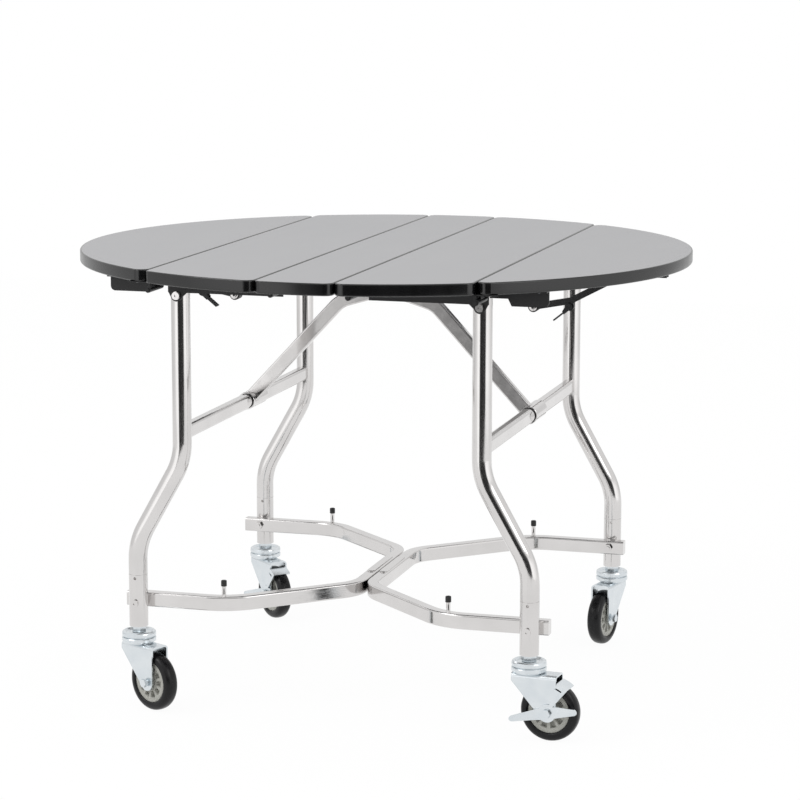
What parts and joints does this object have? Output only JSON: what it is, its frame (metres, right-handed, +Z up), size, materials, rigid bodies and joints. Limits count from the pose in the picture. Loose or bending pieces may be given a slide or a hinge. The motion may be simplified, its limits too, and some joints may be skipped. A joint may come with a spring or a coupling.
{
  "type": "folding room service table",
  "caption": "Round folding table on casters: grey plank top with drop leaves, kinked chrome legs, braces and a base with locating pegs.",
  "frame": {"origin": "on the floor under the middle of the round top", "axes": "+X across the planks to the right, +Y along the seams away from the viewer, +Z up"},
  "size_m": [1.0598, 1.0598, 0.762],
  "materials": {
    "grey_laminate": "satin laminate over board, black edges",
    "black_steel": "black satin",
    "black_nylon": "matte",
    "chromed_steel": "polished",
    "black_rubber": "matte",
    "black_tyre": "smooth satin",
    "grey_plastic": "matte",
    "bright_zinc": "bright zinc plated, bluish"
  },
  "bodies": {
    "centre": {"plank_3": "grey_laminate", "hinges_middle": "black_steel"},
    "inner_left": {"plank_2": "grey_laminate", "hinges_inner_left": "black_steel", "rail_front_left": "black_steel", "rail_back_left": "black_steel", "stay_ear_left": "black_steel"},
    "leaf_left": {"plank_1": "grey_laminate", "hinges_leaf_left": "black_steel", "leaf_rail_front_left": "black_steel", "leaf_rail_back_left": "black_steel", "stay_track_left": "black_steel"},
    "leg_left": {"post_front_left": "chromed_steel", "post_back_left": "chromed_steel", "crossbar_left": "chromed_steel", "brace_bush_left": "black_nylon", "leg_bolts_left": "chromed_steel", "caster_stems_left": "bright_zinc"},
    "brace_left_arm": {"brace_left": "chromed_steel"},
    "base_frame_left": {"base_left": "chromed_steel", "peg_caps_left": "black_rubber"},
    "stay_left": {"stay_arm_left": "black_steel"},
    "lever_left": {"stay_lever_left": "black_steel"},
    "swivel_front_left": {"fork_front_left": "bright_zinc"},
    "wheel_front_left": {"tyre_front_left": "black_tyre", "hub_front_left": "grey_plastic"},
    "swivel_back_left": {"fork_back_left": "bright_zinc"},
    "wheel_back_left": {"tyre_back_left": "black_tyre", "hub_back_left": "grey_plastic"},
    "inner_right": {"plank_4": "grey_laminate", "hinges_inner_right": "black_steel", "rail_front_right": "black_steel", "rail_back_right": "black_steel", "stay_ear_right": "black_steel"},
    "leaf_right": {"plank_5": "grey_laminate", "hinges_leaf_right": "black_steel", "leaf_rail_front_right": "black_steel", "leaf_rail_back_right": "black_steel", "stay_track_right": "black_steel"},
    "leg_right": {"post_front_right": "chromed_steel", "post_back_right": "chromed_steel", "crossbar_right": "chromed_steel", "brace_bush_right": "black_nylon", "leg_bolts_right": "chromed_steel", "caster_stems_right": "bright_zinc"},
    "brace_right_arm": {"brace_right": "chromed_steel"},
    "base_frame_right": {"base_right": "chromed_steel", "peg_caps_right": "black_rubber"},
    "stay_right": {"stay_arm_right": "black_steel"},
    "lever_right": {"stay_lever_right": "black_steel"},
    "swivel_front_right": {"fork_front_right": "bright_zinc"},
    "wheel_front_right": {"tyre_front_right": "black_tyre", "hub_front_right": "grey_plastic"},
    "swivel_back_right": {"fork_back_right": "bright_zinc"},
    "wheel_back_right": {"tyre_back_right": "black_tyre", "hub_back_right": "grey_plastic"},
    "pedal_front_right": {"brake_front_right": "bright_zinc"},
    "pedal_back_left": {"brake_back_left": "bright_zinc"}
  },
  "joints": [
    {"name": "fold_right", "type": "hinge", "parent": "centre", "child": "inner_right", "pos_m": [0.065, 0, 0.729], "axis": [0, 1, 0], "range_deg": [0, 85]},
    {"name": "leaf_right", "type": "hinge", "parent": "inner_right", "child": "leaf_right", "pos_m": [0.2735, 0, 0.729], "axis": [0, -1, 0], "range_deg": [-90, 0]},
    {"name": "stay_right", "type": "hinge", "parent": "inner_right", "child": "stay_right", "pos_m": [0.27, -0.022, 0.669], "axis": [0, -1, 0], "range_deg": [-112.5, 0]},
    {"name": "lever_right", "type": "hinge", "parent": "stay_right", "child": "lever_right", "pos_m": [0.332, -0.022, 0.672], "axis": [0, 1, 0], "range_deg": [0, 15], "stiffness_Nm_per_rad": 0.1, "springref_deg": -5.73},
    {"name": "leg_right", "type": "hinge", "parent": "inner_right", "child": "leg_right", "pos_m": [0.258, 0, 0.709], "axis": [0, -1, 0], "range_deg": [0, 89.25]},
    {"name": "base_right", "type": "hinge", "parent": "leg_right", "child": "base_frame_right", "pos_m": [0.34, 0, 0.181], "axis": [0, 1, 0], "range_deg": [0, 68.85]},
    {"name": "brace_right", "type": "hinge", "parent": "leg_right", "child": "brace_right_arm", "pos_m": [0.258, 0.03, 0.476], "axis": [0, 1, 0], "range_deg": [0, 44.2]},
    {"name": "swivel_front_right", "type": "hinge", "parent": "leg_right", "child": "swivel_front_right", "pos_m": [0.34, -0.33198, 0.12], "axis": [0, 0, 1], "continuous": true},
    {"name": "roll_front_right", "type": "hinge", "parent": "swivel_front_right", "child": "wheel_front_right", "pos_m": [0.37779, -0.33595, 0.05], "axis": [0.1045, 0.9945, 0], "continuous": true},
    {"name": "pedal_front_right", "type": "hinge", "parent": "swivel_front_right", "child": "pedal_front_right", "pos_m": [0.37779, -0.33595, 0.05], "axis": [0.1045, 0.9945, 0], "range_deg": [0, 12]},
    {"name": "swivel_back_right", "type": "hinge", "parent": "leg_right", "child": "swivel_back_right", "pos_m": [0.34, 0.33198, 0.12], "axis": [0, 0, 1], "continuous": true},
    {"name": "roll_back_right", "type": "hinge", "parent": "swivel_back_right", "child": "wheel_back_right", "pos_m": [0.3321, 0.29481, 0.05], "axis": [0.9781, -0.2079, 0], "continuous": true},
    {"name": "fold_left", "type": "hinge", "parent": "centre", "child": "inner_left", "pos_m": [-0.065, 0, 0.729], "axis": [0, -1, 0], "range_deg": [0, 85]},
    {"name": "leaf_left", "type": "hinge", "parent": "inner_left", "child": "leaf_left", "pos_m": [-0.2735, 0, 0.729], "axis": [0, 1, 0], "range_deg": [-90, 0]},
    {"name": "stay_left", "type": "hinge", "parent": "inner_left", "child": "stay_left", "pos_m": [-0.27, -0.022, 0.669], "axis": [0, 1, 0], "range_deg": [-112.5, 0]},
    {"name": "lever_left", "type": "hinge", "parent": "stay_left", "child": "lever_left", "pos_m": [-0.332, -0.022, 0.672], "axis": [0, -1, 0], "range_deg": [0, 15], "stiffness_Nm_per_rad": 0.1, "springref_deg": -5.73},
    {"name": "leg_left", "type": "hinge", "parent": "inner_left", "child": "leg_left", "pos_m": [-0.258, 0, 0.709], "axis": [0, 1, 0], "range_deg": [0, 89.25]},
    {"name": "base_left", "type": "hinge", "parent": "leg_left", "child": "base_frame_left", "pos_m": [-0.34, 0, 0.181], "axis": [0, -1, 0], "range_deg": [0, 68.85]},
    {"name": "brace_left", "type": "hinge", "parent": "leg_left", "child": "brace_left_arm", "pos_m": [-0.258, 0.03, 0.476], "axis": [0, -1, 0], "range_deg": [0, 44.2]},
    {"name": "swivel_front_left", "type": "hinge", "parent": "leg_left", "child": "swivel_front_left", "pos_m": [-0.34, -0.33198, 0.12], "axis": [0, 0, 1], "continuous": true},
    {"name": "roll_front_left", "type": "hinge", "parent": "swivel_front_left", "child": "wheel_front_left", "pos_m": [-0.30645, -0.34982, 0.05], "axis": [0.4695, 0.8829, 0], "continuous": true},
    {"name": "swivel_back_left", "type": "hinge", "parent": "leg_left", "child": "swivel_back_left", "pos_m": [-0.34, 0.33198, 0.12], "axis": [0, 0, 1], "continuous": true},
    {"name": "roll_back_left", "type": "hinge", "parent": "swivel_back_left", "child": "wheel_back_left", "pos_m": [-0.31221, 0.30606, 0.05], "axis": [0.682, 0.7314, 0], "continuous": true},
    {"name": "pedal_back_left", "type": "hinge", "parent": "swivel_back_left", "child": "pedal_back_left", "pos_m": [-0.31221, 0.30606, 0.05], "axis": [0.682, 0.7314, 0], "range_deg": [0, 12]}
  ],
  "couplings": [
    {"joint": "stay_right", "follows": "leaf_right", "ratio": 1.25},
    {"joint": "leg_right", "follows": "fold_right", "ratio": 1.05},
    {"joint": "base_right", "follows": "fold_right", "ratio": 0.81},
    {"joint": "brace_right", "follows": "fold_right", "ratio": 0.52},
    {"joint": "fold_left", "follows": "fold_right", "ratio": 1},
    {"joint": "stay_left", "follows": "leaf_left", "ratio": 1.25},
    {"joint": "leg_left", "follows": "fold_right", "ratio": 1.05},
    {"joint": "base_left", "follows": "fold_right", "ratio": 0.81},
    {"joint": "brace_left", "follows": "fold_right", "ratio": 0.52}
  ]
}
